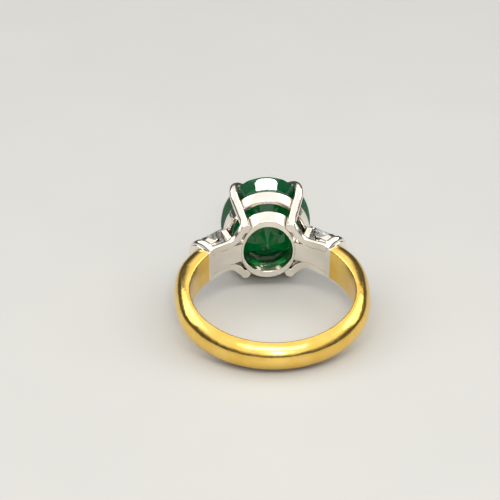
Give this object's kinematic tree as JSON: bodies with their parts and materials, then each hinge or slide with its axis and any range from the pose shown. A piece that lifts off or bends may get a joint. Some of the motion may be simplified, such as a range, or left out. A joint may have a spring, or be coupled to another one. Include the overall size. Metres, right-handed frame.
{
  "type": "cocktail ring",
  "caption": "Finger ring with a domed gold band, a raised four-claw oval coloured stone on a two-rail gallery, and a tapered baguette in each shoulder.",
  "frame": {"origin": "centre of the finger bore, at the middle of the band's width", "axes": "+Z along the finger bore, the head points along -Y, +X runs across the ring from the left shoulder to the right one"},
  "size_m": [0.0204, 0.0251, 0.012],
  "materials": {
    "yellow_gold": "polished",
    "white_metal": "polished",
    "green_stone": "faceted, polished",
    "clear_stone": "faceted, polished"
  },
  "bodies": {
    "root": {"shank": "yellow_gold", "left_shoulder": "white_metal", "right_shoulder": "white_metal", "left_outer_bar": "white_metal", "right_outer_bar": "white_metal", "left_inner_bar": "white_metal", "right_inner_bar": "white_metal", "base_collet": "white_metal", "upper_gallery_rail": "white_metal", "upper_left_claw": "white_metal", "upper_right_claw": "white_metal", "lower_left_claw": "white_metal", "lower_right_claw": "white_metal", "centre_stone": "green_stone", "left_baguette": "clear_stone", "right_baguette": "clear_stone"}
  },
  "joints": []
}
